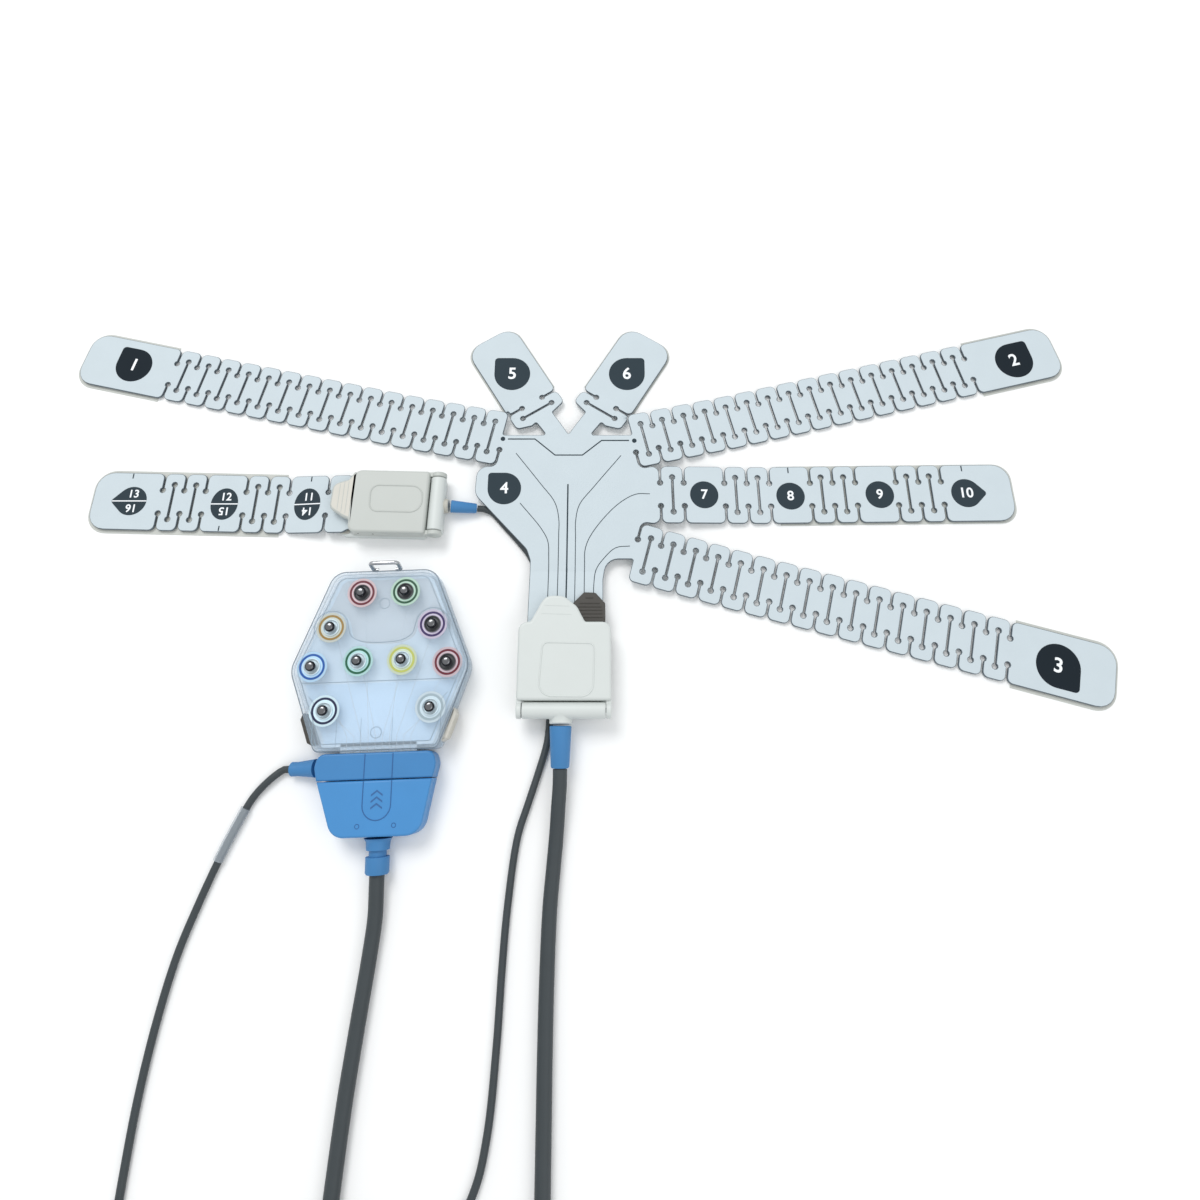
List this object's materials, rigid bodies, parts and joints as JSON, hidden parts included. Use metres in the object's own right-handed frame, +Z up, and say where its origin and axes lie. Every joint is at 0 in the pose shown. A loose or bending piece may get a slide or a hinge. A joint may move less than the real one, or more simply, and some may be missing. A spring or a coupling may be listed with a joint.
{
  "type": "wearable ecg electrode array",
  "caption": "Slit foam electrode sheet and side strip for a heart recording, each held in a hinged clip on a cable, with a clear snap box latched to the cable's plug.",
  "frame": {"origin": "on the table, under the middle of the object's box without its cords", "axes": "+Z up, +Y from the plug towards the chest tabs, +X towards the left-arm electrode"},
  "size_m": [0.4646, 0.4281, 0.0158],
  "materials": {
    "foam": "matte closed-cell foam",
    "liner": "thin satin film",
    "clip_shell": "satin warm white",
    "dark_plastic": "matte",
    "contact_film": "printed traces on film",
    "contact_block": "matte with contacts",
    "pressure_pad": "matte",
    "steel": "polished wire",
    "snap_metal": "polished",
    "clear_plastic": "clear, slightly blue",
    "board": "white solder mask",
    "blue_plastic": "satin",
    "blue_boot": "matte",
    "cable": "satin jacket"
  },
  "bodies": {
    "array_and_cables": {"sheet_trunk": "foam", "limb_arm_ra": "foam", "limb_arm_la": "foam", "limb_arm_ll": "foam", "chest_strip": "foam", "chest_tab_v1": "foam", "chest_tab_v2": "foam", "side_strip": "foam", "liner_ra": "liner", "liner_la": "liner", "liner_ll": "liner", "liner_chest": "liner", "liner_v1": "liner", "liner_v2": "liner", "liner_side": "liner", "pull_tab": "dark_plastic", "sheet_contact_film": "contact_film", "side_contact_film": "contact_film", "main_clip_base": "clip_shell", "main_clip_hinge_pin": "steel", "main_clip_contact_block": "contact_block", "main_clip_boot": "blue_boot", "side_clip_base": "clip_shell", "side_clip_hinge_pin": "steel", "side_clip_contact_block": "contact_block", "side_clip_boot": "blue_boot", "plug_band": "blue_plastic", "plug_lower_shell": "blue_plastic", "plug_upper_shell": "blue_plastic", "plug_contact_block": "contact_block", "plug_boot": "blue_boot", "plug_side_boot": "blue_boot", "trunk_cable_clip_end": "cable", "trunk_cable_coil": "cable", "trunk_cable_plug_end": "cable", "side_cable_clip_end": "cable", "side_cable_coil": "cable", "side_cable_plug_end": "cable"},
    "main_cover": {"main_clip_cover": "clip_shell", "main_clip_pressure_pad": "pressure_pad"},
    "side_cover": {"side_clip_cover": "clip_shell", "side_clip_pressure_pad": "pressure_pad"},
    "snap_box": {"box_tray": "clear_plastic", "box_cover": "clear_plastic", "circuit_board": "board", "snap_stud_1": "snap_metal", "snap_stud_2": "snap_metal", "snap_stud_3": "snap_metal", "snap_stud_4": "snap_metal", "snap_stud_5": "snap_metal", "snap_stud_6": "snap_metal", "snap_stud_7": "snap_metal", "snap_stud_8": "snap_metal", "snap_stud_9": "snap_metal", "snap_stud_10": "snap_metal"},
    "bail": {"wire_bail": "steel"},
    "latch_left": {"box_latch_left": "dark_plastic"},
    "latch_right": {"box_latch_right": "clip_shell"}
  },
  "joints": [
    {"name": "main_cover_hinge", "type": "hinge", "parent": "array_and_cables", "child": "main_cover", "pos_m": [-0.00068, -0.0593, 0.0099], "axis": [1, 0, 0], "range_deg": [0, 70]},
    {"name": "side_cover_hinge", "type": "hinge", "parent": "array_and_cables", "child": "side_cover", "pos_m": [-0.05749, 0.02729, 0.0068], "axis": [0.0244, 0.9997, 0], "range_deg": [0, 80]},
    {"name": "box_slide", "type": "slide", "parent": "array_and_cables", "child": "snap_box", "axis": [-0.0366, 0.9993, 0], "range_m": [0, 0.007]},
    {"name": "bail_swing", "type": "hinge", "parent": "snap_box", "child": "bail", "pos_m": [-0.07594, -0.002, 0.008], "axis": [0.9993, 0.0366, 0], "range_deg": [-160, 5]},
    {"name": "latch_left_press", "type": "slide", "parent": "snap_box", "child": "latch_left", "axis": [0.9227, 0.3855, 0], "range_m": [0, 0.0012], "stiffness_N_per_m": 300},
    {"name": "latch_right_press", "type": "slide", "parent": "snap_box", "child": "latch_right", "axis": [-0.9485, 0.3169, 0], "range_m": [0, 0.0012], "stiffness_N_per_m": 300}
  ]
}
